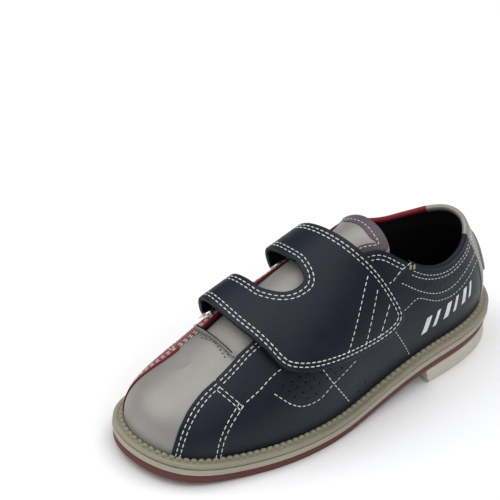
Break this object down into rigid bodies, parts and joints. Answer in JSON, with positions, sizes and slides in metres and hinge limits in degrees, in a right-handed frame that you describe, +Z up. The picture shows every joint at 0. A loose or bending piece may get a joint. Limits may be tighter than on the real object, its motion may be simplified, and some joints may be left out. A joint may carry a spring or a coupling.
{
  "type": "bowling shoe",
  "caption": "Child's rental-style bowling shoe, left foot, with a two-armed hook-and-loop strap through oval eyelets, welted sole and low heel block.",
  "frame": {"origin": "on the floor, under the middle of the sole's length and width", "axes": "+Y from toe to heel along the shoe's length, +X to the outer (lateral) side of the left foot, +Z up"},
  "size_m": [0.0814, 0.228, 0.0892],
  "materials": {
    "silver_leather": "metallic silver coated leather, soft sheen",
    "navy_leather": "dark navy coated leather, semi-gloss",
    "red_leather": "deep metallic red coated leather, semi-gloss",
    "black_textile": "black knit lining",
    "black_leather": "black coated leather backing",
    "fibre_board": "pressed fibre board",
    "cork": "ground cork filler",
    "shank_steel": "plain steel",
    "outsole_brown": "red-brown sole leather, worn edge",
    "midsole_beige": "pale beige midsole, matte",
    "welt_beige": "beige welt with scalloped bead, matte",
    "heel_offwhite": "off-white rubber, matte",
    "foam": "open-cell foam",
    "nickel": "nickel plate, bright",
    "patch_white": "white printed patch",
    "fastener_pile": "hook-and-loop pile"
  },
  "bodies": {
    "shoe": {"heel_block": "heel_offwhite", "outsole": "outsole_brown", "midsole": "midsole_beige", "welt": "welt_beige", "cork_filler": "cork", "shank": "shank_steel", "insole_board": "fibre_board", "sock_liner": "black_textile", "vamp": "silver_leather", "toe_puff": "fibre_board", "vamp_lining": "black_textile", "lateral_wing": "navy_leather", "lateral_facing": "navy_leather", "lateral_quarter": "navy_leather", "lateral_collar_panel": "navy_leather", "lateral_quarter_lining": "black_textile", "medial_wing": "red_leather", "medial_facing": "red_leather", "medial_quarter": "red_leather", "medial_collar_panel": "red_leather", "medial_quarter_lining": "black_textile", "heel_counter": "silver_leather", "heel_stiffener": "fibre_board", "topline_binding": "black_leather", "size_patch_ring": "silver_leather", "size_patch": "patch_white", "front_eyelet": "nickel", "front_strap_anchor": "black_leather", "rear_eyelet": "nickel", "rear_strap_anchor": "black_leather", "loop_patch": "fastener_pile"},
    "strap": {"strap": "navy_leather", "strap_lining": "black_leather", "hook_patch": "fastener_pile"},
    "tongue": {"tongue_cover": "silver_leather", "tongue_foam": "foam", "tongue_lining": "black_textile"}
  },
  "joints": [
    {"name": "strap_open", "type": "hinge", "parent": "shoe", "child": "strap", "pos_m": [-0.02856, -0.04157, 0.05293], "axis": [-0.0429, -0.9637, -0.2635], "range_deg": [0, 105]},
    {"name": "tongue_lift", "type": "hinge", "parent": "shoe", "child": "tongue", "pos_m": [-0.00681, -0.05931, 0.04745], "axis": [1, 0, 0], "range_deg": [0, 21]}
  ],
  "couplings": [
    {"joint": "tongue_lift", "follows": "strap_open", "ratio": 0.2}
  ]
}
